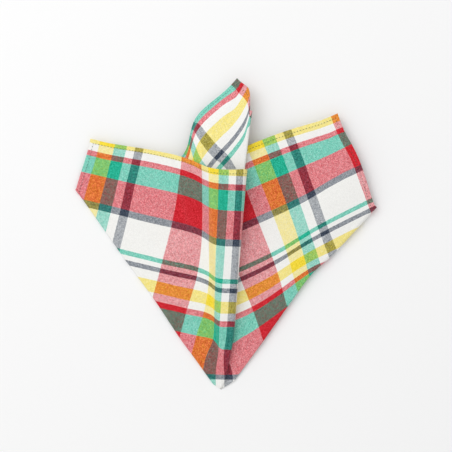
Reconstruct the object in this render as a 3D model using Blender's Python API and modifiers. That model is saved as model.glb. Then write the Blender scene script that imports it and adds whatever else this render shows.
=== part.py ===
"""Pocket square of madras plaid cotton, picked up near its middle and laid down folded.

Every fold runs out from one centre, so the cloth is worked out as a cone: a ray leaves the centre at a
cloth angle (its direction on the flat square) and lies in plan at a plan angle. Walking round it
crosses eight layers, each turning back at a fold, and comes home after 360 degrees of cloth.
Metres, +Z up, the cloth resting on z = 0, with the origin under the middle of the folded outline.
"""

import math

import bmesh
import bpy
import numpy as np

MM = 0.001
NODE = "pocket_square"

# Cloth, cut and hemmed
CLOTH_WIDTH = 322.4 * MM
CLOTH_LENGTH = 348.0 * MM
CLOTH_THICKNESS = 1.0 * MM
LAYER_PITCH = 1.7 * MM

# The folds' common centre, on the flat cloth from its first corner, and on the table
CENTRE_ACROSS = 160.8 * MM
CENTRE_DOWN = 172.0 * MM
CENTRE_X = 3.21 * MM
CENTRE_Y = -121.93 * MM

# The tip: inside the core the folds narrow towards a vanishing point, down to a share of their size,
# and a blunt end closes them there. Both points are given from the centre.
CORE = 40.0 * MM
VANISH_ASIDE = -6.2 * MM
VANISH_BEYOND = -8.0 * MM
END_SHARE = 0.3
TIP_ASIDE = -7.2 * MM
TIP_BEYOND = -1.9 * MM
TIP_WALL = 0.02            # share of the cloth's thickness left at the tip's own point

# Distances out from the centre at which the tables give their angles and lifts
STATIONS = [r * MM for r in (40.0, 100.0, 130.0, 185.0, 225.0)]

# Layers in the order of the walk, each with its place in the pile (0 lies on the table)
LAYERS = {
    "front_left": 7,
    "pleat_inside": 4,
    "front_right": 3,
    "back_right": 2,
    "point_under": 5,
    "point": 6,
    "back_middle": 1,
    "base": 0,
}

# Rays of the walk: name, whether it is a fold, mesh columns up to the next ray, its direction on the
# flat cloth at the hem, and its direction in plan at each station or one number for all, in degrees
RAYS = [
    ("left_fold", True, 3, 141.6, (139.0, 130.4, 129.5, 128.2, 127.8)),
    ("first_corner", False, 20, 133.1, (125.2, 119.3, 119.3, 119.3, 119.3)),
    ("step_foot", False, 8, 113.5, (107.7, 101.2, 100.6, 99.7, 99.7)),
    ("step_top", False, 6, 98.5, (100.7, 95.7, 95.3, 94.7, 94.7)),
    ("ridge_fold", True, 6, 86.3, (85.8, 85.8, 85.7, 85.6, 85.6)),
    ("pleat_fold", True, 5, 75.4, 96.8),
    ("beside_ridge", False, 5, 64.0, (84.6, 84.9, 85.1, 85.3, 85.3)),
    ("second_corner", False, 4, 46.8, (69.4, 69.0, 68.9, 68.8, 68.6)),
    ("right_middle", False, 6, 38.0, (63.2, 63.2, 62.6, 61.8, 61.6)),
    ("right_fold", True, 6, 25.0, (54.4, 54.6, 52.1, 50.8, 50.4)),
    ("back_step", False, 6, 14.0, (63.0, 64.5, 63.6, 62.3, 62.0)),
    ("wrap_fold", True, 8, -26.8, 102.8),
    ("point_fold", True, 4, -39.4, (91.0, 88.0, 87.2, 85.9, 85.3)),
    ("point_curl", False, 4, -43.0, (92.2, 89.2, 88.3, 86.9, 86.1)),
    ("third_corner", False, 5, -47.4, (94.4, 91.2, 90.6, 89.8, 88.7)),
    ("point_crest", False, 6, -55.9, (101.0, 99.2, 98.6, 97.8, 97.7)),
    ("point_foot", False, 11, -65.3, (106.0, 104.2, 102.9, 101.2, 100.7)),
    ("point_drape", False, 7, -72.3, (111.0, 109.6, 109.0, 108.2, 107.7)),
    ("under_left_fold", True, 8, -83.0, 118.4),
    ("fourth_corner", False, 4, -132.4, (72.0, 70.0, 69.6, 69.0, 69.0)),
    ("under_right_fold", True, 10, -146.0, (59.0, 57.0, 56.3, 55.4, 55.4)),
]

# Heights above the table at which the cloth holds a ray up, in mm at each station, and how far out
# the ray reaches in plan for each mm of cloth, in the same way. A fold has heights for both layers.
LIFTS = {
    "left_fold": (0.0, 0.0, 0.978),
    "first_corner": ((2.0, 2.6, 2.9, 3.2, 2.6), None, (0.978, 0.978, 0.975, 0.972, 0.966)),
    "step_foot": ((4.4, 6.0, 6.4, 7.0, 7.0), None, (0.975, 0.980, 0.988, 0.998, 0.998)),
    "step_top": ((12.5, 22.0, 25.0, 29.0, 29.0), None, (0.968, 0.978, 0.989, 1.004, 1.004)),
    "ridge_fold": ((12.0, 21.0, 24.2, 28.4, 28.4), (7.0, 10.2, 11.4, 12.8, 9.0),
                   (0.980, 0.984, 0.996, 1.011, 1.011)),
    "pleat_fold": ((6.2, 8.6, 10.1, 12.0, 7.0), (4.6, 7.0, 8.0, 9.4, 5.4),
                   (0.985, 0.990, 0.994, 1.000, 1.000)),
    "beside_ridge": ((4.6, 7.0, 7.9, 9.2, 5.6), None, (0.990, 0.995, 1.004, 1.015, 1.015)),
    "second_corner": ((4.0, 6.6, 7.4, 8.4, 7.4), None, (1.010, 1.022, 1.021, 1.020, 0.995)),
    "right_middle": ((3.6, 6.6, 7.5, 8.8, 8.4), None, (1.030, 1.036, 1.037, 1.038, 1.038)),
    "right_fold": ((2.4, 4.0, 4.4, 5.0, 5.0), 0.0, (1.040, 1.040, 1.052, 1.040, 1.036)),
    "back_step": ((0.8, 1.6, 1.8, 2.0, 2.0), None, (1.020, 1.010, 1.006, 1.000, 1.000)),
    "wrap_fold": ((3.2, 4.4, 5.1, 6.0, 6.0), (4.8, 7.0, 8.1, 9.6, 9.6),
                  (0.990, 0.980, 0.976, 0.970, 0.970)),
    "point_fold": ((6.0, 12.5, 14.0, 15.5, 10.0), (7.6, 15.0, 16.8, 18.5, 12.5),
                   (0.980, 0.990, 1.012, 1.045, 1.064)),
    "point_curl": ((7.2, 15.0, 16.8, 18.5, 13.0), None, (0.980, 0.990, 1.010, 1.040, 1.068)),
    "third_corner": ((7.0, 14.8, 16.4, 18.0, 12.5), None, (0.980, 0.990, 1.008, 1.030, 1.030)),
    "point_crest": ((5.0, 9.0, 10.3, 12.0, 12.0), None, (0.980, 0.985, 0.987, 0.990, 1.010)),
    "point_foot": ((4.0, 5.0, 5.4, 6.0, 7.0), None, (0.980, 0.980, 0.977, 0.972, 0.980)),
    "point_drape": ((3.0, 4.0, 4.0, 4.0, 4.0), None, (0.978, 0.976, 0.972, 0.966, 0.970)),
    "under_left_fold": ((2.0, 3.2, 3.2, 3.2, 3.2), (1.0, 1.6, 1.6, 1.6, 1.6),
                        (0.975, 0.970, 0.966, 0.960, 0.960)),
    "fourth_corner": ((1.0, 1.8, 1.9, 2.0, 2.0), None, (0.970, 0.960, 0.951, 0.940, 0.940)),
    "under_right_fold": ((1.0, 1.6, 1.6, 1.6, 1.6), 0.0, (0.975, 0.970, 0.966, 0.960, 0.960)),
}

# Rows of the mesh, as parts of the way from the core's edge to the hem
ROWS = (0.0, 0.09, 0.19, 0.3, 0.42, 0.54, 0.66, 0.78, 0.9, 1.0)

# Folds and drapes
DRAPE = 9.0 * MM           # distance over which a layer comes down past a fold below it, at the least
DRAPE_SLOPE = 1.3          # the same for each mm of the height that it comes down
DRAPE_SHARE = 0.22         # the most near the tip, as a share of the distance from it
BLEND = 0.5 * MM           # how softly a layer leaves the layers that carry it
FOLD_STEPS = 4             # columns round a fold, between the two layers
FOLD_DEPTH_MAX = 3.6 * MM  # how far a fold's round end reaches back from its edge
FOLD_ROOM = 0.45           # the most that it takes of the way to the next ray

CLOTH_COLOUR = (0.80, 0.30, 0.27, 1.0)
CLOTH_ROUGHNESS = 0.92


def clear_scene():
    """Remove the objects that the file opens with."""
    for obj in list(bpy.data.objects):
        bpy.data.objects.remove(obj, do_unlink=True)


def smoothstep(x):
    """Ease from 0 to 1, held outside that range."""
    x = min(max(x, 0.0), 1.0)
    return x * x * (3.0 - 2.0 * x)


def slopes(xs, ys):
    """Slopes of a smooth curve through the points that never overshoots them; ys may hold rows."""
    gaps = np.diff(xs)
    rise = np.diff(ys, axis=-1) / gaps
    inner = np.zeros(ys.shape)
    left, right = rise[..., :-1], rise[..., 1:]
    weight_left = 2.0 * gaps[1:] + gaps[:-1]
    weight_right = gaps[1:] + 2.0 * gaps[:-1]
    with np.errstate(divide="ignore", invalid="ignore"):
        mean = (weight_left + weight_right) / (weight_left / left + weight_right / right)
    inner[..., 1:-1] = np.where(left * right > 0.0, mean, 0.0)
    inner[..., 0] = rise[..., 0]
    inner[..., -1] = rise[..., -1]
    return inner


def curve_value(x, xs, ys, ms):
    """Value at x of the curve through the points xs, ys with slopes ms, held past its ends."""
    x = min(max(x, xs[0]), xs[-1])
    i = min(max(int(np.searchsorted(xs, x)) - 1, 0), len(xs) - 2)
    h = xs[i + 1] - xs[i]
    t = (x - xs[i]) / h
    low, high = ys[..., i], ys[..., i + 1]
    return (low * (1 + 2 * t) * (1 - t) ** 2 + ms[..., i] * h * t * (1 - t) ** 2
            + high * t * t * (3 - 2 * t) + ms[..., i + 1] * h * t * t * (t - 1))


class Table:
    """Rows of numbers given at the stations, read at any distance from the centre."""

    def __init__(self, rows):
        self.xs = np.log(np.array(STATIONS))
        self.ys = np.array([np.broadcast_to(row, self.xs.shape) for row in rows], dtype=float)
        self.ms = slopes(self.xs, self.ys)

    def at(self, distance):
        return curve_value(math.log(distance), self.xs, self.ys, self.ms)


NAMES = [ray[0] for ray in RAYS]
WALK = list(LAYERS)
PILE = sorted(LAYERS, key=LAYERS.get)
FOLDS = [i for i, ray in enumerate(RAYS) if ray[1]] + [len(RAYS)]
LAYER_RAYS = {name: FOLDS[k:k + 2] for k, name in enumerate(WALK)}
AT_HEM = np.array([ray[3] for ray in RAYS] + [RAYS[0][3] - 360.0])
PLAN_TABLE = Table([ray[4] for ray in RAYS] + [RAYS[0][4]])
LIFT_IN = Table([LIFTS[n][0] for n in NAMES + NAMES[:1]])
LIFT_OUT = Table([LIFTS[n][0] if LIFTS[n][1] is None else LIFTS[n][1] for n in NAMES + NAMES[:1]])
REACH_TABLE = Table([LIFTS[n][2] for n in NAMES + NAMES[:1]])


def hem_distance(cloth_angle):
    """Distance over the flat cloth from the centre to the hem, along a cloth angle in degrees."""
    across = math.cos(math.radians(cloth_angle))
    up = math.sin(math.radians(cloth_angle))
    side = CLOTH_WIDTH - CENTRE_ACROSS if across > 0.0 else CENTRE_ACROSS
    end = CENTRE_DOWN if up > 0.0 else CLOTH_LENGTH - CENTRE_DOWN
    return min(side / max(abs(across), 1e-9), end / max(abs(up), 1e-9))


def soft_max(a, b, blend):
    """The greater of two heights, rounded where they meet and never less than either."""
    return (a + b + math.sqrt((a - b) ** 2 + blend ** 2)) / 2.0


class Ring:
    """The walk round the centre at one distance from it: where each ray and layer lies."""

    def __init__(self, distance):
        self.distance = distance
        self.plan = PLAN_TABLE.at(distance)
        lift_in = LIFT_IN.at(distance) * MM
        lift_out = LIFT_OUT.at(distance) * MM
        self.reach = REACH_TABLE.at(distance)
        self.spans = {}
        self.lifts = {}
        for name, (first, last) in LAYER_RAYS.items():
            plan = self.plan[first:last + 1]
            lift = lift_in[first:last + 1].copy()
            lift[0] = lift_out[first]
            if plan[-1] < plan[0]:
                plan, lift = plan[::-1], lift[::-1]
            self.spans[name] = (plan[0], plan[-1])
            self.lifts[name] = (plan, lift, slopes(plan, lift))
        self.edges = {}
        for name in PILE:
            low, high = self.spans[name]
            self.edges[name] = (self.height(name, low), self.height(name, high))

    def height(self, top, plan_angle):
        """Height of a layer's middle at a plan angle, lying on the layers below it."""
        heights = {PILE[0]: 0.0}
        for name in PILE[1:PILE.index(top) + 1]:
            carried = 0.0
            for other, below in heights.items():
                low, high = self.spans[other]
                outside = max(low - plan_angle, plan_angle - high)
                level = below + LAYER_PITCH
                if outside > 0.0:
                    edge = self.edges[other][0 if plan_angle < low else 1] + LAYER_PITCH
                    fall = min(max(DRAPE, DRAPE_SLOPE * edge), DRAPE_SHARE * self.distance)
                    away = math.radians(outside) * self.distance
                    level = edge * (1.0 - smoothstep(away / fall))
                carried = max(carried, level)
            held = float(curve_value(plan_angle, *self.lifts[name]))
            heights[name] = soft_max(carried, held, BLEND)
        return heights[top]


class Fold:
    """One fold at one distance: the two layers it joins and the round end between them."""

    def __init__(self, ring, k):
        before, after = WALK[k % len(WALK)], WALK[(k + 1) % len(WALK)]
        edge = ring.plan[LAYER_RAYS[before][1]]
        low, high = ring.spans[before]
        half = abs(ring.height(before, edge) - ring.height(after, edge)) / 2.0
        self.side = 1.0 if edge - low > high - edge else -1.0
        self.plan_shift = math.degrees(min(half, FOLD_DEPTH_MAX) / ring.distance)


def layer_point(ring, k, place):
    """Plan angle, height and reach of a layer at a place along it, given by cloth angle at the hem."""
    first, last = LAYER_RAYS[WALK[k]]
    xs = -AT_HEM[first:last + 1]
    plan = ring.plan[first:last + 1].copy()
    toward = 1.0 if plan[-1] >= plan[0] else -1.0
    plan[0] += toward * min(Fold(ring, k - 1).plan_shift, FOLD_ROOM * abs(plan[1] - plan[0]))
    plan[-1] -= toward * min(Fold(ring, k).plan_shift, FOLD_ROOM * abs(plan[-1] - plan[-2]))
    reach = ring.reach[first:last + 1]
    plan_angle = float(curve_value(-place, xs, plan, slopes(xs, plan)))
    return (plan_angle, ring.height(WALK[k], plan_angle),
            float(curve_value(-place, xs, reach, slopes(xs, reach))))


def fold_point(ring, k, share):
    """A point of the round end between layer k of the walk and the next one."""
    fold = Fold(ring, k)
    after = (k + 1) % len(WALK)
    start = layer_point(ring, k, AT_HEM[FOLDS[k + 1]])
    end = layer_point(ring, after, AT_HEM[FOLDS[after]])
    turn = math.pi * share
    along = (1.0 - math.cos(turn)) / 2.0
    bulge = fold.side * fold.plan_shift * math.sin(turn)
    return (start[0] + (end[0] - start[0]) * along + bulge,
            start[1] + (end[1] - start[1]) * along,
            start[2] + (end[2] - start[2]) * share)


def walk_columns():
    """Columns of the mesh: how each finds its points, its layer, its place there and its hem distance."""
    columns = []
    for k in range(len(WALK)):
        for i in range(FOLDS[k], FOLDS[k + 1]):
            for step in range(RAYS[i][2]):
                place = AT_HEM[i] + (AT_HEM[i + 1] - AT_HEM[i]) * step / RAYS[i][2]
                columns.append((layer_point, k, place, hem_distance(place)))
        last = AT_HEM[FOLDS[k + 1]]
        columns.append((layer_point, k, last, hem_distance(last)))
        for step in range(1, FOLD_STEPS):
            columns.append((fold_point, k, step / FOLD_STEPS, hem_distance(last)))
    return columns


def narrowed(point):
    """Where a point of the core's edge comes to at the blunt end."""
    vanish = (CENTRE_X + VANISH_ASIDE, CENTRE_Y + VANISH_BEYOND, 0.0)
    return tuple(v + (p - v) * END_SHARE for p, v in zip(point, vanish))


def cloth_surface():
    """Middle surface of the cloth from the blunt end to the hem: a line of points for each column."""
    lines = []
    for find, k, place, rim in walk_columns():
        line = []
        for part in ROWS:
            ring = Ring(CORE + (rim - CORE) * part)
            plan_angle, height, reach = find(ring, k, place)
            out = ring.distance * reach
            line.append((CENTRE_X + out * math.cos(math.radians(plan_angle)),
                         CENTRE_Y + out * math.sin(math.radians(plan_angle)),
                         CLOTH_THICKNESS / 2.0 + height))
        lines.append([narrowed(line[0])] + line)
    return lines


def build_cloth(collection, material):
    """The cloth as one sheet with its thickness."""
    points = cloth_surface()
    mesh = bpy.data.meshes.new(NODE)
    bm = bmesh.new()
    grid = [[bm.verts.new(p) for p in line] for line in points]
    tip = bm.verts.new((CENTRE_X + TIP_ASIDE, CENTRE_Y + TIP_BEYOND, CLOTH_THICKNESS * TIP_WALL / 2.0))
    for here, after in zip(grid, grid[1:] + grid[:1]):
        bm.faces.new((tip, after[0], here[0]))
        for row in range(len(ROWS)):
            bm.faces.new((here[row], after[row], after[row + 1], here[row + 1]))
    bmesh.ops.recalc_face_normals(bm, faces=bm.faces)
    bm.to_mesh(mesh)
    bm.free()
    mesh.shade_smooth()
    obj = bpy.data.objects.new(NODE, mesh)
    collection.objects.link(obj)
    obj.data.materials.append(material)
    rows = len(ROWS) + 1
    tip_index = len(mesh.vertices) - 1
    walls = obj.vertex_groups.new(name="walls")
    walls.add(list(range(tip_index)), 1.0, "REPLACE")
    walls.add(list(range(0, tip_index, rows)), END_SHARE, "REPLACE")
    walls.add([tip_index], TIP_WALL, "REPLACE")
    wall = obj.modifiers.new("thickness", "SOLIDIFY")
    wall.vertex_group = walls.name
    wall.thickness = CLOTH_THICKNESS
    wall.offset = 0.0
    wall.use_rim = True
    return obj


def cloth_material():
    """Plain stand-in for the plaid."""
    material = bpy.data.materials.new("madras_cotton")
    material.use_nodes = True
    shader = material.node_tree.nodes["Principled BSDF"]
    shader.inputs["Base Color"].default_value = CLOTH_COLOUR
    shader.inputs["Roughness"].default_value = CLOTH_ROUGHNESS
    shader.inputs["Metallic"].default_value = 0.0
    return material


def main():
    """Build the pocket square in an empty scene."""
    clear_scene()
    collection = bpy.data.collections.new("Pocket square")
    bpy.context.scene.collection.children.link(collection)
    build_cloth(collection, cloth_material())


main()
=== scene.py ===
"""Looks of a madras plaid pocket square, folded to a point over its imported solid.

The cloth is worked out as its solid is: every fold runs out from one centre, a ray leaves the centre at
a cloth angle (its direction on the flat square) and lies in plan at a plan angle, and a walk round the
centre crosses eight layers. The woven stripes then follow from where a point was on the flat cloth.
Metres, +Z up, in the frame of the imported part.
"""

import functools
import logging
import math
from dataclasses import dataclass, field
from enum import Enum
from typing import Any, Callable, Iterable, Optional, Sequence, Union

import bpy
import numpy as np
from mathutils import Euler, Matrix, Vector

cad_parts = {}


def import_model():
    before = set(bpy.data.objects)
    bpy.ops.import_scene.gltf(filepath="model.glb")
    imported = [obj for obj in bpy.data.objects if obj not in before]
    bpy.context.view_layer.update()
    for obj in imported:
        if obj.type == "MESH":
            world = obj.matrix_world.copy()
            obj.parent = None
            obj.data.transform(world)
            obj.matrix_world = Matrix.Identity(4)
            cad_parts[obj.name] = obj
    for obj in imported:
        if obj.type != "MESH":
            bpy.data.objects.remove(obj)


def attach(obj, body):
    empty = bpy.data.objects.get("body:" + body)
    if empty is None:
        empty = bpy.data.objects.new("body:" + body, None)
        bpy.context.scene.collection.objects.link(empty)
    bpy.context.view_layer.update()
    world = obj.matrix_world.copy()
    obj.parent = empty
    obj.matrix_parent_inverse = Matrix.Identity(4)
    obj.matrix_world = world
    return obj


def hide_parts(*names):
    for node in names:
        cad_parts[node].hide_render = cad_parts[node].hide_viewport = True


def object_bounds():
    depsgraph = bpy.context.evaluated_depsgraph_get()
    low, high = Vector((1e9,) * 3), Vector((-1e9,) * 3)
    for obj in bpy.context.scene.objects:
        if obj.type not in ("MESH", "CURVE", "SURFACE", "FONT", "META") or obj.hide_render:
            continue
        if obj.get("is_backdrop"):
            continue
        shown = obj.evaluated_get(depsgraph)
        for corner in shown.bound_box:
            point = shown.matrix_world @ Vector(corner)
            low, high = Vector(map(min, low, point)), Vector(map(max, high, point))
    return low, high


log = logging.getLogger("pocket_square")

MM = 0.001
NODE = "pocket_square"
BODY = "root"
CLOTH_MAP = "flat_cloth"


@dataclass(frozen=True)
class Cut:
    """The flat cloth after hemming, and where the folds' common centre is on it and on the table."""

    width: float = 322.4 * MM
    length: float = 348.0 * MM
    centre_across: float = 160.8 * MM
    centre_down: float = 172.0 * MM
    centre_x: float = 3.21 * MM
    centre_y: float = -121.93 * MM
    core: float = 40.0 * MM
    vanish_aside: float = -6.2 * MM
    vanish_beyond: float = -8.0 * MM
    end_share: float = 0.3
    tip_aside: float = -7.2 * MM
    tip_beyond: float = -1.9 * MM

    def edge_distance(self, cloth_angle: float) -> float:
        """Square distance from the centre to the edge that a ray meets.

        Args:
            cloth_angle: Direction on the flat cloth, in degrees.

        Returns:
            The distance in metres.
        """
        side, end, across, up = self._room(cloth_angle)
        return side if side * up <= end * across else end

    def hem_distance(self, cloth_angle: float) -> float:
        """Distance over the flat cloth from the centre to the hem.

        Args:
            cloth_angle: Direction on the flat cloth, in degrees.

        Returns:
            The distance in metres.
        """
        side, end, across, up = self._room(cloth_angle)
        return min(side / max(across, 1e-9), end / max(up, 1e-9))

    def _room(self, cloth_angle: float) -> tuple[float, float, float, float]:
        """Room to the side and to the end of the cut, and the direction's parts towards them."""
        across = math.cos(math.radians(cloth_angle))
        up = math.sin(math.radians(cloth_angle))
        side = self.width - self.centre_across if across > 0.0 else self.centre_across
        end = self.centre_down if up > 0.0 else self.length - self.centre_down
        return side, end, abs(across), abs(up)


Track = Union[float, Sequence[float]]


@dataclass(frozen=True)
class Ray:
    """A ray of the walk: directions in degrees, heights in mm, and how far it reaches for each mm of cloth.

    Each is given at the stations, or as one number for all of them. A fold has heights for both layers.
    """

    name: str
    steps: int
    cloth: Track
    plan: Track
    held: Track
    reach: Track
    held_after: Optional[Track] = None

    @property
    def is_fold(self) -> bool:
        """Whether the cloth turns back here."""
        return self.held_after is not None


STATIONS = tuple(r * MM for r in (40.0, 100.0, 130.0, 185.0, 225.0))

RAYS = (
    Ray("left_fold", 8, (152.8, 144.2, 143.3, 142.0, 141.6), (139.0, 130.4, 129.5, 128.2, 127.8),
        0.0, 0.978, 0.0),
    Ray("first_corner", 30, (139.0, 133.1, 133.1, 133.1, 133.1), (125.2, 119.3, 119.3, 119.3, 119.3),
        (2.0, 2.6, 2.9, 3.2, 2.6), (0.978, 0.978, 0.978, 0.980, 0.967)),
    Ray("step_foot", 18, (121.5, 114.1, 113.1, 111.3, 111.0), (107.7, 101.2, 100.6, 99.7, 99.7),
        (4.4, 6.0, 6.4, 7.0, 7.0), (0.975, 0.980, 0.988, 0.998, 0.998)),
    Ray("step_top", 16, (104.5, 101.1, 101.2, 100.1, 99.8), (100.7, 95.7, 95.3, 94.7, 94.7),
        (12.5, 22.0, 25.0, 29.0, 29.0), (0.968, 0.978, 0.989, 1.004, 1.004)),
    Ray("ridge_fold", 12, (86.0, 86.7, 86.7, 86.6, 86.6), (85.8, 85.8, 85.7, 85.6, 85.6),
        (12.0, 21.0, 24.2, 28.4, 28.4), (0.980, 0.984, 0.996, 1.011, 1.011), (7.0, 10.2, 11.4, 12.8, 9.0)),
    Ray("pleat_fold", 12, 75.4, 96.8,
        (6.2, 8.6, 10.1, 12.0, 7.0), (0.985, 0.990, 0.994, 1.000, 1.000), (4.6, 7.0, 8.0, 9.4, 5.4)),
    Ray("beside_ridge", 22, 64.0, (84.6, 84.9, 85.1, 85.3, 85.3),
        (4.6, 7.0, 7.9, 9.2, 5.6), (0.990, 0.995, 1.004, 1.015, 1.015)),
    Ray("second_corner", 12, 46.8, (69.4, 69.0, 68.9, 68.8, 68.6),
        (4.0, 6.6, 7.4, 8.4, 7.4), (1.010, 1.022, 1.021, 1.020, 0.995)),
    Ray("right_middle", 18, 38.5, (63.2, 63.2, 62.6, 61.8, 61.6),
        (3.6, 6.6, 7.5, 8.8, 8.4), (1.030, 1.036, 1.037, 1.038, 1.014)),
    Ray("right_fold", 14, 25.0, (54.4, 54.6, 52.1, 50.8, 50.4),
        (2.4, 4.0, 4.4, 5.0, 5.0), (1.040, 1.040, 1.052, 1.040, 1.036), 0.0),
    Ray("back_step", 20, 14.0, (63.0, 64.5, 63.6, 62.3, 62.0),
        (0.8, 1.6, 1.8, 2.0, 2.0), (1.020, 1.010, 1.006, 1.000, 1.000)),
    Ray("wrap_fold", 14, -26.8, 102.8,
        (3.2, 4.4, 5.1, 6.0, 6.0), (0.990, 0.980, 0.976, 0.970, 0.970), (4.8, 7.0, 8.1, 9.6, 9.6)),
    Ray("point_fold", 6, (-43.0, -42.0, -41.5, -40.9, -39.4), (91.0, 88.0, 87.2, 85.9, 85.3),
        (6.0, 12.5, 14.0, 15.5, 10.0), (0.980, 0.990, 1.012, 1.045, 1.064), (7.6, 15.0, 16.8, 18.5, 12.5)),
    Ray("point_curl", 8, (-44.4, -43.8, -43.6, -43.2, -43.0), (92.2, 89.2, 88.3, 86.9, 86.1),
        (7.2, 15.0, 16.8, 18.5, 13.0), (0.980, 0.990, 1.010, 1.040, 1.066)),
    Ray("third_corner", 14, -47.4, (94.4, 91.2, 90.6, 89.8, 88.7),
        (7.0, 14.8, 16.4, 18.0, 12.5), (0.980, 0.990, 1.010, 1.036, 1.032)),
    Ray("point_crest", 16, -55.9, (101.0, 99.2, 98.6, 97.8, 97.7),
        (5.0, 9.0, 10.3, 12.0, 12.0), (0.980, 0.987, 0.993, 1.002, 1.010)),
    Ray("point_foot", 20, -65.3, (106.0, 104.2, 102.9, 101.2, 100.7),
        (4.0, 5.0, 5.4, 6.0, 7.0), (0.980, 0.980, 0.981, 0.984, 0.982)),
    Ray("point_drape", 16, -72.3, (111.0, 109.6, 109.0, 108.2, 107.7),
        (3.0, 4.0, 4.0, 4.0, 4.0), (0.978, 0.976, 0.972, 0.966, 0.970)),
    Ray("under_left_fold", 20, -83.0, 118.4,
        (2.0, 3.2, 3.2, 3.2, 3.2), (0.975, 0.970, 0.966, 0.960, 0.960), (1.0, 1.6, 1.6, 1.6, 1.6)),
    Ray("fourth_corner", 10, -132.4, (72.0, 70.0, 69.6, 69.0, 69.0),
        (1.0, 1.8, 1.9, 2.0, 2.0), (0.970, 0.960, 0.951, 0.940, 0.940)),
    Ray("under_right_fold", 26, -146.0, (59.0, 57.0, 56.3, 55.4, 55.4),
        (1.0, 1.6, 1.6, 1.6, 1.6), (0.975, 0.970, 0.966, 0.960, 0.960), 0.0),
)


class Layer(Enum):
    """Layers in the order of the walk, each with its place in the pile (0 lies on the table)."""

    FRONT_LEFT = 7
    PLEAT_INSIDE = 4
    FRONT_RIGHT = 3
    BACK_RIGHT = 2
    POINT_UNDER = 5
    POINT = 6
    BACK_MIDDLE = 1
    BASE = 0


def smoothstep(x: float) -> float:
    """Ease from 0 to 1, held outside that range."""
    x = min(max(x, 0.0), 1.0)
    return x * x * (3.0 - 2.0 * x)


def soft_max(a: float, b: float, blend: float) -> float:
    """The greater of two heights, rounded where they meet and never less than either."""
    return (a + b + math.sqrt((a - b) ** 2 + blend ** 2)) / 2.0


class Curve:
    """A smooth curve through given points that never overshoots them; its values may be rows."""

    def __init__(self, xs: Sequence[float], ys: Sequence[Any]) -> None:
        """Work out the slopes.

        Args:
            xs: Places of the points, rising.
            ys: Values at them, along the last axis.
        """
        self.xs = np.asarray(xs, dtype=float)
        self.ys = np.asarray(ys, dtype=float)
        gaps = np.diff(self.xs)
        rise = np.diff(self.ys, axis=-1) / gaps
        left, right = rise[..., :-1], rise[..., 1:]
        weight_left = 2.0 * gaps[1:] + gaps[:-1]
        weight_right = gaps[1:] + 2.0 * gaps[:-1]
        with np.errstate(divide="ignore", invalid="ignore"):
            mean = (weight_left + weight_right) / (weight_left / left + weight_right / right)
        self.slopes = np.zeros(self.ys.shape)
        self.slopes[..., 1:-1] = np.where(left * right > 0.0, mean, 0.0)
        self.slopes[..., 0] = rise[..., 0]
        self.slopes[..., -1] = rise[..., -1]

    def at(self, x: float) -> Any:
        """Value or row of values at a place, held past the ends."""
        x = min(max(x, self.xs[0]), self.xs[-1])
        i = min(max(int(np.searchsorted(self.xs, x)) - 1, 0), len(self.xs) - 2)
        gap = self.xs[i + 1] - self.xs[i]
        t = (x - self.xs[i]) / gap
        low, high = self.ys[..., i], self.ys[..., i + 1]
        return (low * (1.0 + 2.0 * t) * (1.0 - t) ** 2 + self.slopes[..., i] * gap * t * (1.0 - t) ** 2
                + high * t * t * (3.0 - 2.0 * t) + self.slopes[..., i + 1] * gap * t * t * (t - 1.0))


@dataclass
class FoldedCone:
    """The folded cloth as a surface: where a point of the flat cloth lies on the table.

    Each number of near_tip multiplies every ray's reach at its station.
    """

    cut: Cut = field(default_factory=Cut)
    pitch: float = 1.15 * MM
    drape: float = 8.0 * MM
    drape_slope: float = 1.15
    drape_share: float = 0.2
    blend: float = 0.8 * MM
    fold_depth: float = 3.6 * MM
    fold_room: float = 0.45
    fold_share: float = 0.25
    near_tip: Sequence[float] = (1.035, 1.006, 1.0, 1.0, 1.0)

    def __post_init__(self) -> None:
        """Read the rays into tables over the distance from the centre."""
        rays = list(RAYS)
        closed = rays + rays[:1]
        home = np.array(rays[0].cloth) - 360.0
        self.folds = [i for i, ray in enumerate(rays) if ray.is_fold] + [len(rays)]
        self.walk = list(Layer)
        self.pile_order = sorted(Layer, key=lambda layer: layer.value)
        self.span_rays = {layer: self.folds[k:k + 2] for k, layer in enumerate(self.walk)}
        self.cloth = self._table([ray.cloth for ray in rays] + [home])
        self.plan = self._table([ray.plan for ray in closed])
        self.held = self._table([ray.held for ray in closed])
        self.held_after = self._table([ray.held_after if ray.is_fold else ray.held for ray in closed])
        self.reach = self._table([np.array(ray.reach) * self.near_tip for ray in closed])
        self.at_hem = self.cloth.at(math.log(STATIONS[-1]))

    @staticmethod
    def _table(rows: Sequence[Track]) -> "Curve":
        """Rows given at the stations, as a curve over the logarithm of the distance."""
        return Curve(np.log(STATIONS), [np.broadcast_to(row, len(STATIONS)) for row in rows])

    @functools.lru_cache(maxsize=4096)
    def ring(self, distance: float) -> "Ring":
        """The walk at one distance from the centre."""
        return Ring(self, distance)

    def __hash__(self) -> int:
        """Identity, so that rings can be remembered."""
        return id(self)


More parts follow.
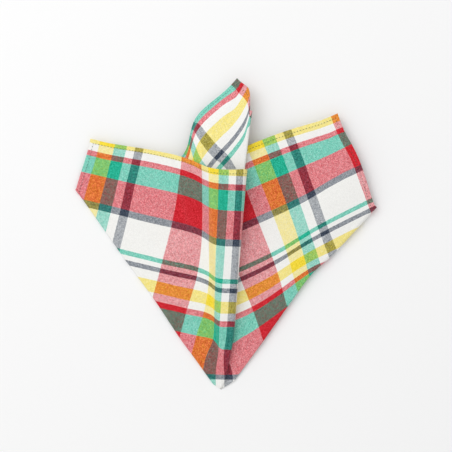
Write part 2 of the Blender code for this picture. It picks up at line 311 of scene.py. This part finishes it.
class Ring:
    """The walk round the centre at one distance from it: where each ray and layer lies."""

    def __init__(self, cone: FoldedCone, distance: float) -> None:
        """Place the rays, then the pile's height at each fold.

        Args:
            cone: The folded cloth.
            distance: Distance from the centre over the flat cloth, in metres.
        """
        station = math.log(distance)
        self.cone = cone
        self.distance = distance
        self.cloth = cone.cloth.at(station)
        self.plan = cone.plan.at(station)
        self.reach = cone.reach.at(station)
        held = cone.held.at(station) * MM
        held_after = cone.held_after.at(station) * MM
        self.spans: dict[Layer, tuple[float, float]] = {}
        self.holds: dict[Layer, Curve] = {}
        self.edges: dict[Layer, tuple[float, float]] = {}
        self.points: dict[tuple[int, float], np.ndarray] = {}
        for layer, (first, last) in cone.span_rays.items():
            plan = self.plan[first:last + 1]
            lift = held[first:last + 1].copy()
            lift[0] = held_after[first]
            if plan[-1] < plan[0]:
                plan, lift = plan[::-1], lift[::-1]
            self.spans[layer] = (plan[0], plan[-1])
            self.holds[layer] = Curve(plan, lift)
        for layer in cone.pile_order:
            low, high = self.spans[layer]
            self.edges[layer] = (self.height(layer, low), self.height(layer, high))

    def height(self, top: Layer, plan_angle: float) -> float:
        """Height of a layer's middle, lying on those below it.

        Args:
            top: The layer.
            plan_angle: Direction in plan, in degrees.

        Returns:
            The height above the bottom layer's middle, in metres.
        """
        cone = self.cone
        heights = {cone.pile_order[0]: 0.0}
        for layer in cone.pile_order[1:top.value + 1]:
            carried = 0.0
            for other, below in heights.items():
                low, high = self.spans[other]
                outside = max(low - plan_angle, plan_angle - high)
                level = below + cone.pitch
                if outside > 0.0:
                    edge = self.edges[other][0 if plan_angle < low else 1] + cone.pitch
                    fall = min(max(cone.drape, cone.drape_slope * edge), cone.drape_share * self.distance)
                    level = edge * (1.0 - smoothstep(math.radians(outside) * self.distance / fall))
                carried = max(carried, level)
            heights[layer] = soft_max(carried, float(self.holds[layer].at(plan_angle)), cone.blend)
        return heights[top]

    def fold(self, k: int) -> tuple[float, float, float]:
        """The fold at the end of a layer.

        Args:
            k: Place of the layer in the walk.

        Returns:
            The side it faces (1 or -1), how far its round end reaches back in metres, and the cloth
            that half of it takes up, in degrees.
        """
        walk = self.cone.walk
        before, after = walk[k % len(walk)], walk[(k + 1) % len(walk)]
        edge = self.plan[self.cone.span_rays[before][1]]
        low, high = self.spans[before]
        half = abs(self.height(before, edge) - self.height(after, edge)) / 2.0
        depth = min(half, self.cone.fold_depth)
        taken = min((half + depth) * math.pi / 4.0, self.cone.fold_share * self.distance)
        side = 1.0 if edge - low > high - edge else -1.0
        return side, depth, math.degrees(taken / self.distance)

    def on_layer(self, k: int, place: float) -> np.ndarray:
        """A point of a layer.

        Args:
            k: Place of the layer in the walk.
            place: Cloth angle at the hem of the column that the point is on, in degrees.

        Returns:
            Cloth angle and plan angle in degrees, height in metres, and reach.
        """
        key = (k, place)
        if key not in self.points:
            self.points[key] = self._layer_point(k, place)
        return self.points[key]

    def _layer_point(self, k: int, place: float) -> np.ndarray:
        """Work out a point of a layer; see on_layer."""
        layer = self.cone.walk[k]
        first, last = self.cone.span_rays[layer]
        plan = self.plan[first:last + 1].copy()
        cloth = self.cloth[first:last + 1].copy()
        toward = 1.0 if plan[-1] >= plan[0] else -1.0
        _, depth_before, taken_before = self.fold(k - 1)
        _, depth_after, taken_after = self.fold(k)
        room_before = self.cone.fold_room * abs(plan[1] - plan[0])
        room_after = self.cone.fold_room * abs(plan[-1] - plan[-2])
        plan[0] += toward * min(math.degrees(depth_before / self.distance), room_before)
        plan[-1] -= toward * min(math.degrees(depth_after / self.distance), room_after)
        cloth[0] -= taken_before
        cloth[-1] += taken_after
        rows = Curve(-self.cone.at_hem[first:last + 1], [cloth, plan, self.reach[first:last + 1]])
        cloth_angle, plan_angle, reach = rows.at(-place)
        return np.array([cloth_angle, plan_angle, self.height(layer, plan_angle), reach])

    def on_fold(self, k: int, share: float) -> np.ndarray:
        """A point of the round end between a layer and the next.

        Args:
            k: Place of the layer in the walk.
            share: How far round the fold, from 0 to 1.

        Returns:
            Cloth angle and plan angle in degrees, height in metres, and reach.
        """
        cone = self.cone
        side, depth, _ = self.fold(k)
        after = (k + 1) % len(cone.walk)
        start = self.on_layer(k, cone.at_hem[cone.folds[k + 1]])
        end = self.on_layer(after, cone.at_hem[cone.folds[after]]).copy()
        if after == 0:
            end[0] -= 360.0
        turn = math.pi * share
        round_share = (1.0 - math.cos(turn)) / 2.0
        shares = np.array([share, round_share, round_share, share])
        point = start + (end - start) * shares
        point[1] += side * math.degrees(depth / self.distance) * math.sin(turn)
        return point


@dataclass(frozen=True)
class Column:
    """A line of the cloth out to the hem.

    Front says how far it belongs to the front of the tip, and curl how far its hem is turned down.
    """

    find: Callable[[Ring], np.ndarray]
    rim: float
    edge: float
    front: float
    curl: float = 0.0


@dataclass(frozen=True)
class HemCurl:
    """The point's left hem, which turns down and away: how far the cloth leads outwards and drops.

    The first four are cloth angles at the hem, in degrees. The cloth drops by no more than a share of
    its height over the floor.
    """

    first: float = -46.5
    full: float = -50.0
    fading: float = -70.0
    last: float = -80.0
    lead: float = 4.6 * MM
    lead_start: float = 34.0 * MM
    lead_peak: float = 10.0 * MM
    drop: float = 5.5 * MM
    drop_start: float = 15.0 * MM
    floor: float = 1.5 * MM
    drop_share: float = 0.6

    def share(self, cloth_angle: float) -> float:
        """How far a column's hem is turned down, from 0 to 1, by its cloth angle at the hem."""
        return (smoothstep((self.first - cloth_angle) / (self.first - self.full))
                * smoothstep((cloth_angle - self.last) / (self.fading - self.last)))

    def move(self, inward: float) -> tuple[float, float]:
        """How far the cloth at a distance from its edge is moved outwards and down, in metres."""
        rise = smoothstep(inward / self.lead_peak)
        fall = 1.0 - smoothstep((inward - self.lead_peak) / (self.lead_start - self.lead_peak))
        return self.lead * rise * fall, self.drop * (1.0 - smoothstep(inward / self.drop_start))


@dataclass
class ClothSheet:
    """The woven cloth: one thin sheet with its hem turned to a thicker edge."""

    cone: FoldedCone = field(default_factory=FoldedCone)
    curl: HemCurl = field(default_factory=HemCurl)
    fold_steps: int = 10
    knots: Sequence[float] = (0.0, 0.06, 0.13, 0.21, 0.3, 0.4, 0.5, 0.6, 0.7, 0.8, 0.9, 1.0)
    cap_rows: Sequence[float] = (0.3, 0.6, 0.85)
    core_rows: Sequence[float] = (0.3, 0.4, 0.5, 0.6, 0.7, 0.8, 0.9)
    tip_spread: float = 1.06
    tip_slope: float = 1.36
    tip_turn: float = 2.5 * MM
    main_rows: int = 34
    hem_zone: float = 8.0 * MM
    hem_rows: Sequence[float] = tuple(
        d * MM for d in (6.4, 5.2, 4.4, 4.0, 3.7, 2.9, 2.1, 1.3, 0.6, 0.2, 0.0))
    hem_width: float = 3.9 * MM
    hem_thickness: float = 0.9 * MM
    lowest_middle: float = 0.5 * MM
    cloth_share: float = 0.5
    edge_share: float = 0.55
    tip_share: float = 0.02

    def columns(self) -> list[Column]:
        """Columns of the mesh, in the order of the walk."""
        cone = self.cone
        found = []
        for k in range(len(cone.walk)):
            for i in range(cone.folds[k], cone.folds[k + 1]):
                for step in range(RAYS[i].steps):
                    share = step / RAYS[i].steps
                    place = cone.at_hem[i] + (cone.at_hem[i + 1] - cone.at_hem[i]) * share
                    found.append(self._column(k, place))
            last = cone.at_hem[cone.folds[k + 1]]
            found.append(self._column(k, last))
            before, after = self._front(k), self._front(k + 1)
            for step in range(1, self.fold_steps):
                share = step / self.fold_steps
                find = functools.partial(Ring.on_fold, k=k, share=share)
                found.append(Column(find, cone.cut.hem_distance(last), cone.cut.edge_distance(last),
                                    before + (after - before) * share))
        return found

    def _front(self, k: int) -> float:
        """1 for a layer of the tip's front, else 0."""
        layer = self.cone.walk[k % len(self.cone.walk)]
        return float(layer in (Layer.FRONT_LEFT, Layer.PLEAT_INSIDE, Layer.FRONT_RIGHT))

    def _column(self, k: int, place: float) -> Column:
        """A column that lies on a layer."""
        cut = self.cone.cut
        find = functools.partial(Ring.on_layer, k=k, place=place)
        curl = self.curl.share(place) if self.cone.walk[k] is Layer.POINT else 0.0
        return Column(find, cut.hem_distance(place), cut.edge_distance(place), self._front(k), curl)

    def line(self, column: Column) -> tuple[Curve, np.ndarray]:
        """Follow a column out from the core.

        Args:
            column: The column.

        Returns:
            Its place in space and on the flat cloth as a curve over the distance from the centre, and
            the distances of its rows.
        """
        cut = self.cone.cut
        distances = [cut.core + (column.rim - cut.core) * share for share in self.knots]
        values = []
        for distance in distances:
            cloth_angle, plan_angle, height, reach = column.find(self.cone.ring(distance))
            out = distance * reach
            values.append((cut.centre_x + out * math.cos(math.radians(plan_angle)),
                           cut.centre_y + out * math.sin(math.radians(plan_angle)),
                           height + self.lowest_middle,
                           math.radians(cloth_angle)))
        zone = column.rim * (1.0 - self.hem_zone / column.edge)
        main = np.linspace(cut.core, zone, self.main_rows)
        hem = [column.rim * (1.0 - inward / column.edge) for inward in self.hem_rows]
        return Curve(distances, np.array(values).T), np.concatenate([main, hem])

    def surface(self) -> tuple[np.ndarray, np.ndarray]:
        """Points of the sheet.

        Returns:
            Arrays over columns and rows: places in space, and places on the flat cloth as map
            coordinates from 0 to 1.
        """
        cut = self.cone.cut
        tip, vanish = self.tip(), self.vanish()
        tip_cloth = self.laid_flat(tip)
        places, maps = [], []
        for column in self.columns():
            curve, distances = self.line(column)
            values = np.array([curve.at(d) for d in distances])
            if column.curl > 0.0:
                self._turn_down(column, distances, values)
            edge, angles = values[0, :3], values[:, 3]
            core = np.array([vanish + (edge - vanish) * share for share in self.core_rows])
            cloth = self.on_cloth(distances, angles)
            core_cloth = self.on_cloth(np.array(self.core_rows) * cut.core, angles[0])
            for i, share in enumerate(self.core_rows):
                flat = column.front * (1.0 - smoothstep((share - cut.end_share) / (1.0 - cut.end_share)))
                core_cloth[i] += (self.laid_flat(core[i]) - core_cloth[i]) * flat
            cap = [tip + (core[0] - tip) * np.array((share, share, math.sin(share * math.pi / 2.0)))
                   for share in self.cap_rows]
            cap_cloth = [tip_cloth + (core_cloth[0] - tip_cloth) * share for share in self.cap_rows]
            places.append(np.concatenate([cap, core, values[:, :3]]))
            maps.append(np.concatenate([cap_cloth, core_cloth, cloth]))
        return np.array(places), self.as_map(np.array(maps))

    def _turn_down(self, column: Column, distances: np.ndarray, values: np.ndarray) -> None:
        """Turn down the hem at the end of a column, in place."""
        cut = self.cone.cut
        for i, distance in enumerate(distances):
            lead, drop = self.curl.move((1.0 - distance / column.rim) * column.edge)
            out = values[i, :2] - (cut.centre_x, cut.centre_y)
            values[i, :2] += out / np.linalg.norm(out) * lead * column.curl
            room = max(values[i, 2] - self.curl.floor, 0.0) * self.curl.drop_share
            values[i, 2] -= min(drop, room) * column.curl

    def tip(self) -> np.ndarray:
        """The tip's own point."""
        cut = self.cone.cut
        low = self.tip_share * self.hem_thickness / 2.0
        return np.array([cut.centre_x + cut.tip_aside, cut.centre_y + cut.tip_beyond, low])

    def vanish(self) -> np.ndarray:
        """The point that the folds narrow towards inside the core."""
        cut = self.cone.cut
        return np.array([cut.centre_x + cut.vanish_aside, cut.centre_y + cut.vanish_beyond, 0.0])

    def on_cloth(self, distances: np.ndarray, angles: Any) -> np.ndarray:
        """Places on the flat cloth, across and down, of points given from the centre."""
        cut = self.cone.cut
        return np.stack([cut.centre_across + distances * np.cos(angles),
                         cut.centre_down - distances * np.sin(angles)], axis=-1)

    def laid_flat(self, point: np.ndarray) -> np.ndarray:
        """Place on the flat cloth of a point at the tip's front, where no fold is left."""
        cut = self.cone.cut
        return np.array([cut.centre_across + self.tip_spread * (point[0] - cut.centre_x),
                         cut.centre_down + self.tip_turn - self.tip_slope * (point[1] - cut.centre_y)])

    def as_map(self, cloth: np.ndarray) -> np.ndarray:
        """Places on the flat cloth as map coordinates from 0 to 1."""
        cut = self.cone.cut
        return np.stack([cloth[..., 0] / cut.width, 1.0 - cloth[..., 1] / cut.length], axis=-1)

    def thickness_shares(self) -> list[float]:
        """Share of the hem's thickness that each row of the sheet has."""
        end = self.cloth_share * self.cone.cut.end_share
        cap = [self.tip_share + (end - self.tip_share) * share for share in self.cap_rows]
        core = [self.cloth_share * share for share in self.core_rows]
        hem = []
        for inward in self.hem_rows:
            full = 1.0 if inward < self.hem_width else self.cloth_share
            hem.append(self.edge_share if inward == 0.0 else full)
        return cap + core + [self.cloth_share] * self.main_rows + hem

    def build(self) -> tuple[bpy.types.Object, np.ndarray]:
        """Make the sheet.

        Returns:
            The cloth's object, and its points over columns and rows.
        """
        places, maps = self.surface()
        count, rows = places.shape[:2]
        tip = self.tip()
        vertices = [tuple(tip)] + [tuple(p) for p in places.reshape(-1, 3)]
        coordinates = [tuple(self.as_map(self.laid_flat(tip)))] + [tuple(m) for m in maps.reshape(-1, 2)]
        faces: list[tuple[int, ...]] = []
        for c in range(count):
            here, after = 1 + c * rows, 1 + (c + 1) % count * rows
            faces.append((0, here, after))
            faces.extend((here + r, here + r + 1, after + r + 1, after + r) for r in range(rows - 1))
        mesh = bpy.data.meshes.new("folded_cloth")
        mesh.from_pydata(vertices, [], faces)
        layer = mesh.uv_layers.new(name=CLOTH_MAP)
        for loop in mesh.loops:
            layer.data[loop.index].uv = coordinates[loop.vertex_index]
        mesh.shade_smooth()
        cloth = bpy.data.objects.new("folded_cloth", mesh)
        bpy.context.scene.collection.objects.link(cloth)
        self._thicken(cloth, rows, count)
        return cloth, places

    def _thicken(self, cloth: bpy.types.Object, rows: int, count: int) -> None:
        """Give the sheet its thickness, with the hem thicker than the single cloth."""
        walls = cloth.vertex_groups.new(name="thickness")
        walls.add([0], self.tip_share, "REPLACE")
        for row, share in enumerate(self.thickness_shares()):
            walls.add([1 + c * rows + row for c in range(count)], share, "REPLACE")
        wall = cloth.modifiers.new("thickness", "SOLIDIFY")
        wall.vertex_group = walls.name
        wall.thickness = self.hem_thickness
        wall.offset = 0.0
        select_only([cloth])
        bpy.ops.object.modifier_apply(modifier=wall.name)
        cloth.vertex_groups.clear()


@dataclass
class HemStitches:
    """The sewing thread along the hem: a row of small stitches on both faces of the cloth."""

    sheet: ClothSheet
    inward: float = 3.2 * MM
    pitch: float = 2.5 * MM
    length: float = 1.9 * MM
    radius: float = 0.2 * MM
    sink: float = 0.05 * MM
    sides: int = 6

    def path(self, places: np.ndarray) -> tuple[np.ndarray, np.ndarray]:
        """The line of the stitches over the sheet's middle.

        Args:
            places: The sheet's points over columns and rows.

        Returns:
            Points of the closed line, and the sheet's normals there.
        """
        first_hem = len(self.sheet.cap_rows) + len(self.sheet.core_rows) + self.sheet.main_rows
        inwards = list(self.sheet.hem_rows)
        outer = next(i for i, d in enumerate(inwards) if d <= self.inward)
        share = (inwards[outer - 1] - self.inward) / (inwards[outer - 1] - inwards[outer])
        low, high = places[:, first_hem + outer - 1], places[:, first_hem + outer]
        points = low + (high - low) * share
        along = np.roll(points, -1, axis=0) - np.roll(points, 1, axis=0)
        normals = np.cross(high - low, along)
        return points, normals / np.linalg.norm(normals, axis=1)[:, None]

    def build(self, places: np.ndarray) -> bpy.types.Object:
        """Make the stitches as one piece.

        Args:
            places: The sheet's points over columns and rows.

        Returns:
            The stitches' object.
        """
        points, normals = self.path(places)
        closed = np.vstack([points, points[:1]])
        steps = np.linalg.norm(np.diff(closed, axis=0), axis=1)
        travelled = np.concatenate([[0.0], np.cumsum(steps)])
        faced = np.vstack([normals, normals[:1]])
        count = int(travelled[-1] / self.pitch)
        vertices: list[tuple[float, float, float]] = []
        faces: list[tuple[int, ...]] = []
        lift = self.sheet.hem_thickness / 2.0 - self.sink
        for n in range(count):
            start = n * travelled[-1] / count
            stops = start + np.linspace(0.0, self.length, 5)
            line = np.stack([np.interp(stops, travelled, closed[:, i]) for i in range(3)], axis=1)
            normal = np.stack([np.interp(stops, travelled, faced[:, i]) for i in range(3)], axis=1)
            for face in (1.0, -1.0):
                self._thread(vertices, faces, line + normal * lift * face, normal * face)
        mesh = bpy.data.meshes.new("hem_stitches")
        mesh.from_pydata(vertices, [], faces)
        mesh.shade_smooth()
        stitches = bpy.data.objects.new("hem_stitches", mesh)
        bpy.context.scene.collection.objects.link(stitches)
        return stitches

    def _thread(self, vertices: list, faces: list, line: np.ndarray, normal: np.ndarray) -> None:
        """Add one stitch: a round thread that dips into the cloth at both ends."""
        base = len(vertices)
        swell = (0.35, 0.95, 1.0, 0.95, 0.35)
        dip = (-0.9, 0.1, 0.35, 0.1, -0.9)
        along = line[-1] - line[0]
        along /= np.linalg.norm(along)
        for i, point in enumerate(line):
            up = normal[i] / np.linalg.norm(normal[i])
            side = np.cross(along, up)
            middle = point + up * self.radius * dip[i]
            for s in range(self.sides):
                turn = 2.0 * math.pi * s / self.sides
                vertices.append(tuple(middle + self.radius * swell[i]
                                      * (side * math.cos(turn) + up * math.sin(turn))))
        for i in range(len(line) - 1):
            for s in range(self.sides):
                after = (s + 1) % self.sides
                a, b = base + i * self.sides, base + (i + 1) * self.sides
                faces.append((a + s, a + after, b + after, b + s))
        last = base + (len(line) - 1) * self.sides
        faces.append(tuple(base + s for s in reversed(range(self.sides))))
        faces.append(tuple(last + s for s in range(self.sides)))


def select_only(objects: Iterable[bpy.types.Object]) -> None:
    """Select these objects and nothing else, the last one active."""
    bpy.ops.object.select_all(action="DESELECT")
    for obj in objects:
        obj.select_set(True)
        bpy.context.view_layer.objects.active = obj


class Value:
    """A number in a material's nodes that ordinary arithmetic works on."""

    def __init__(self, graph: "Graph", socket: Any) -> None:
        """Wrap a socket of the graph."""
        self.graph = graph
        self.socket = socket

    def _math(self, operation: str, *others: Any, swap: bool = False) -> "Value":
        """Add a Math node on this value and the others."""
        terms = (*others, self) if swap else (self, *others)
        return self.graph.value("ShaderNodeMath", {"operation": operation}, dict(enumerate(terms)))

    def __add__(self, other: Any) -> "Value":
        """Sum."""
        return self._math("ADD", other)

    __radd__ = __add__

    def __sub__(self, other: Any) -> "Value":
        """Difference."""
        return self._math("SUBTRACT", other)

    def __rsub__(self, other: Any) -> "Value":
        """Difference from a number."""
        return self._math("SUBTRACT", other, swap=True)

    def __mul__(self, other: Any) -> "Value":
        """Product."""
        return self._math("MULTIPLY", other)

    __rmul__ = __mul__

    def __truediv__(self, other: Any) -> "Value":
        """Quotient."""
        return self._math("DIVIDE", other)

    def fraction(self) -> "Value":
        """What is left over the whole number below."""
        return self._math("FRACT")

    def whole(self) -> "Value":
        """The whole number below."""
        return self._math("FLOOR")

    def sine(self) -> "Value":
        """Sine of an angle in radians."""
        return self._math("SINE")

    def clamped(self) -> "Value":
        """Held between 0 and 1."""
        return self._math("MAXIMUM", 0.0)._math("MINIMUM", 1.0)


class Graph:
    """The node tree of one material."""

    def __init__(self, name: str) -> None:
        """Start a material with its Principled shader."""
        self.material = bpy.data.materials.new(name)
        self.material.use_nodes = True
        self.tree = self.material.node_tree
        self.shader = self.tree.nodes["Principled BSDF"]

    def node(self, kind: str, settings: Optional[dict] = None, inputs: Optional[dict] = None) -> Any:
        """Add a node.

        Args:
            kind: The node's type.
            settings: Its properties; "stops" are a ramp's (place, colour) pairs.
            inputs: Values or links of its sockets, by name or number.

        Returns:
            The node.
        """
        node = self.tree.nodes.new(kind)
        for name, setting in (settings or {}).items():
            if name == "stops":
                self._set_stops(node.color_ramp, setting)
            else:
                setattr(node, name, setting)
        for name, value in (inputs or {}).items():
            self.feed(node.inputs[name], value)
        return node

    def value(self, kind: str, settings: Optional[dict] = None, inputs: Optional[dict] = None,
              output: Any = 0) -> Value:
        """Add a node and wrap one of its outputs."""
        return Value(self, self.node(kind, settings, inputs).outputs[output])

    def feed(self, socket: Any, value: Any) -> None:
        """Set a socket, or link it if the value comes from a node."""
        if isinstance(value, Value):
            self.tree.links.new(value.socket, socket)
        else:
            socket.default_value = value

    def dress(self, **inputs: Any) -> bpy.types.Material:
        """Set the shader's sockets, named with spaces as underscores, and return the material."""
        for name, value in inputs.items():
            self.feed(self.shader.inputs[name.replace("_", " ")], value)
        return self.material

    @staticmethod
    def _set_stops(ramp: Any, stops: Sequence[tuple[float, tuple]]) -> None:
        """Give a ramp its hard-edged stops."""
        ramp.interpolation = "CONSTANT"
        while len(ramp.elements) < len(stops):
            ramp.elements.new(1.0)
        for element, (place, colour) in zip(ramp.elements, stops):
            element.position = place
            element.color = colour


class Yarn(Enum):
    """Dyed yarns, as seen colours before they are made linear."""

    WHITE = (0.930, 0.928, 0.915, 1.0)
    RED = (0.780, 0.120, 0.170, 1.0)
    GREEN = (0.110, 0.662, 0.540, 1.0)
    NAVY = (0.225, 0.262, 0.320, 1.0)
    YELLOW = (0.940, 0.835, 0.230, 1.0)


@dataclass(frozen=True)
class Stripes:
    """A repeat of stripes across one direction of the cloth, in mm from the repeat's start."""

    start: float
    lean: float
    widths: Sequence[tuple[Yarn, float]]

    @property
    def repeat(self) -> float:
        """Width of the whole repeat in mm."""
        return sum(width for _, width in self.widths)

    def stops(self) -> list[tuple[float, tuple]]:
        """The repeat as a ramp's stops."""
        place, found = 0.0, []
        for yarn, width in self.widths:
            found.append((place / self.repeat, yarn.value))
            place += width
        return found


WARP = Stripes(8.5, 0.0, (
    (Yarn.YELLOW, 13.0), (Yarn.GREEN, 10.3), (Yarn.WHITE, 7.4), (Yarn.NAVY, 7.4),
    (Yarn.WHITE, 36.1), (Yarn.RED, 29.6), (Yarn.WHITE, 12.8)))
WEFT = Stripes(3.2, 0.0112, (
    (Yarn.WHITE, 6.1), (Yarn.RED, 4.8), (Yarn.GREEN, 15.0), (Yarn.RED, 22.0), (Yarn.NAVY, 5.4),
    (Yarn.WHITE, 26.1), (Yarn.GREEN, 3.7), (Yarn.WHITE, 4.0), (Yarn.NAVY, 3.7), (Yarn.WHITE, 6.9),
    (Yarn.YELLOW, 10.1)))


@dataclass(frozen=True)
class MadrasCotton:
    """Yarn-dyed plain weave: two sets of stripes that cross, with slubs in the yarn.

    Thread and wander are in mm, and the slub rate is for each mm along the yarn.
    """

    thread: float = 0.45
    warp_share: float = 0.435
    weave_contrast: float = 0.22
    slub: float = 0.30
    slub_rate: float = 0.45
    wander: float = 0.35
    # painted shade and highlight at the yarn crossings, standing in for the light and shade of the weave's
    # relief
    painted_weave_shade: float = 0.24
    weave_shade_below: float = 0.98
    weave_shade_fade: float = 0.25
    yarn_step: float = 7.31
    roughness: float = 0.86
    roughness_change: float = 0.04
    relief: float = 0.35
    relief_depth: float = 0.00012
    decode: float = 2.2

    def make(self, cut: Cut) -> bpy.types.Material:
        """Make the material.

        Args:
            cut: The flat cloth, which gives the map its size.

        Returns:
            The material.
        """
        graph = Graph("madras_cotton")
        parts = graph.node("ShaderNodeSeparateXYZ", inputs={
            0: graph.value("ShaderNodeUVMap", {"uv_map": CLOTH_MAP})})
        across = Value(graph, parts.outputs[0]) * (cut.width / MM)
        down = (1.0 - Value(graph, parts.outputs[1])) * (cut.length / MM)
        warp_slub = self._slub(graph, across, down)
        weft_slub = self._slub(graph, down, across)
        warp = self._stripe(graph, WARP, across + (warp_slub - 0.5) * self.wander, down)
        weft = self._stripe(graph, WEFT, down + (weft_slub - 0.5) * self.wander, across)
        over = (across * (math.pi / self.thread)).sine() * (down * (math.pi / self.thread)).sine()
        share = (self.warp_share + over * self.weave_contrast
                 + (warp_slub - weft_slub) * self.slub).clamped()
        mixed = graph.node("ShaderNodeMix", {"data_type": "RGBA"}, {0: share, 6: weft, 7: warp})
        # painted shade and highlight over the yarn crossings
        weave_shaded = self._paint_weave_shade(graph, Value(graph, mixed.outputs[2]), across, down)
        linear = graph.value("ShaderNodeGamma", inputs={0: weave_shaded, 1: self.decode})
        weave = graph.value("ShaderNodeBump", inputs={
            "Strength": self.relief, "Distance": self.relief_depth,
            "Height": over * 0.5 + warp_slub + weft_slub})
        return graph.dress(Base_Color=linear, Normal=weave,
                           Roughness=self.roughness + over * self.roughness_change,
                           Sheen_Weight=0.15, Sheen_Roughness=0.5, Specular_IOR_Level=0.25)

    def _paint_weave_shade(self, graph: Graph, colour: Value, across: Value, down: Value) -> Value:
        """Paint shade and highlight onto each crossing of two yarns, lighter or darker at random, for the
        weave's relief; least in pale cloth.
        """
        crossing = graph.value("ShaderNodeCombineXYZ", inputs={
            0: (across / self.thread).whole(), 1: (down / self.thread).whole()})
        chance = graph.value(
            "ShaderNodeTexWhiteNoise", {"noise_dimensions": "2D"}, {"Vector": crossing})
        parts = graph.node("ShaderNodeSeparateXYZ", inputs={0: colour})
        dyed = ((self.weave_shade_below - Value(graph, parts.outputs[1])) / self.weave_shade_fade).clamped()
        # the painted shade or highlight of each crossing
        tone = (chance - 0.5) * dyed * self.painted_weave_shade
        shaded_colour = graph.value("ShaderNodeVectorMath", {"operation": "ADD"}, {0: colour, 1: tone})
        return graph.value(
            "ShaderNodeVectorMath", {"operation": "MAXIMUM"}, {0: shaded_colour, 1: (0.0, 0.0, 0.0)})

    def _slub(self, graph: Graph, over: Value, along: Value) -> Value:
        """Uneven thickness of the yarns of one direction: long along the yarn, new for each yarn."""
        place = graph.value("ShaderNodeCombineXYZ", inputs={
            0: (over / self.thread).whole() * self.yarn_step, 1: along * self.slub_rate})
        return graph.value("ShaderNodeTexNoise", {"noise_dimensions": "2D"},
                           {"Vector": place, "Scale": 1.0, "Detail": 1.0})

    @staticmethod
    def _stripe(graph: Graph, stripes: Stripes, over: Value, along: Value) -> Value:
        """Colour of the yarns of one direction."""
        place = ((over - stripes.start - along * stripes.lean) / stripes.repeat).fraction()
        return graph.value("ShaderNodeValToRGB", {"stops": stripes.stops()}, {0: place})


@dataclass(frozen=True)
class SewingThread:
    """Fine twisted thread."""

    colour: tuple[float, float, float, float] = (0.010, 0.085, 0.060, 1.0)
    pale_share: float = 0.5
    pale_lift: float = 0.04
    twist: float = 2600.0
    relief: float = 0.3
    relief_depth: float = 0.00005
    roughness: float = 0.6

    def make(self) -> bpy.types.Material:
        """Make the material."""
        graph = Graph("sewing_thread")
        place = graph.value("ShaderNodeTexCoord", output="Object")
        ply = graph.value("ShaderNodeTexNoise", inputs={
            "Vector": place, "Scale": self.twist, "Detail": 1.0})
        pale = tuple(self.pale_share * c + self.pale_lift for c in self.colour[:3]) + (1.0,)
        mixed = graph.node("ShaderNodeMix", {"data_type": "RGBA"}, {0: ply, 6: self.colour, 7: pale})
        bump = graph.value("ShaderNodeBump", inputs={
            "Strength": self.relief, "Distance": self.relief_depth, "Height": ply})
        return graph.dress(Base_Color=Value(graph, mixed.outputs[2]), Normal=bump,
                           Roughness=self.roughness)


@dataclass
class Studio:
    """The white table, the lights and the camera straight above."""

    cut: Cut
    view_width: float = 361.6 * MM
    view_aside: float = -3.2 * MM
    view_beyond: float = 128.8 * MM
    camera_height: float = 2.0
    sensor: float = 36.0
    table_size: float = 6.0
    table_drop: float = 0.2 * MM
    table_tone: float = 0.90
    world_strength: float = 0.74
    lamp_place: tuple[float, float, float] = (-0.75, 0.8, 1.5)
    lamp_size: float = 1.5
    lamp_power: float = 15.5

    def table(self) -> bpy.types.Object:
        """Make the white table."""
        bpy.ops.mesh.primitive_plane_add(size=self.table_size, location=(0.0, 0.0, -self.table_drop))
        plane = bpy.context.object
        plane.name = "table"
        bpy.ops.object.transform_apply(location=True)
        graph = Graph("white_table")
        place = graph.value("ShaderNodeTexCoord", output="Object")
        tone = graph.value("ShaderNodeTexNoise", inputs={"Vector": place, "Scale": 3.0})
        plane.data.materials.append(graph.dress(
            Base_Color=(self.table_tone,) * 3 + (1.0,), Roughness=0.85 + tone * 0.05))
        plane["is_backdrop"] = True
        return plane

    def camera(self) -> bpy.types.Object:
        """Set the camera straight above."""
        lens = self.sensor * self.camera_height / self.view_width
        place = (self.cut.centre_x + self.view_aside, self.cut.centre_y + self.view_beyond,
                 self.camera_height)
        bpy.ops.object.camera_add(location=place, rotation=(0.0, 0.0, 0.0))
        camera = bpy.context.object
        camera.data.sensor_width = self.sensor
        camera.data.lens = lens
        bpy.context.scene.camera = camera
        return camera

    def lights(self) -> None:
        """Light the table softly from the upper left, with pale light all round."""
        world = bpy.data.worlds.new("studio")
        world.use_nodes = True
        world.node_tree.nodes["Background"].inputs["Color"].default_value = (1.0, 1.0, 1.0, 1.0)
        world.node_tree.nodes["Background"].inputs["Strength"].default_value = self.world_strength
        bpy.context.scene.world = world
        self._lamp()

    def _lamp(self) -> None:
        """Add the square soft lamp, aimed at the cloth."""
        place = self.lamp_place
        turn = (Vector((0.0, 0.0, 0.0)) - Vector(place)).to_track_quat("-Z", "Y").to_euler()
        bpy.ops.object.light_add(type="AREA", location=place, rotation=Euler(turn))
        lamp = bpy.context.object
        lamp.data.size = self.lamp_size
        lamp.data.energy = self.lamp_power

    def build(self) -> None:
        """Set up the whole studio."""
        self.table()
        self.camera()
        self.lights()
        bpy.context.scene.view_settings.view_transform = "Standard"


def place_piece(piece: bpy.types.Object, material: bpy.types.Material) -> None:
    """Dress a piece, and let it ride on the part's body."""
    piece.data.materials.clear()
    piece.data.materials.append(material)
    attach(piece, BODY)
    log.info("%s: %d faces", piece.name, len(piece.data.polygons))


def main() -> None:
    """Build the cloth, its stitches and the studio."""
    logging.basicConfig(level=logging.INFO)
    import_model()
    solid_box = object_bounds()
    sheet = ClothSheet()
    cloth, places = sheet.build()
    stitches = HemStitches(sheet).build(places)
    place_piece(cloth, MadrasCotton().make(sheet.cone.cut))
    place_piece(stitches, SewingThread().make())
    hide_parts(NODE)
    sheet.cone.cut.width
    sheet.cone.cut.length
    Studio(sheet.cone.cut).build()
    boxes = {"solid": solid_box, "looks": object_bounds()}
    {name: [list(corner) for corner in box] for name, box in boxes.items()}


if __name__ == "__main__":
    main()
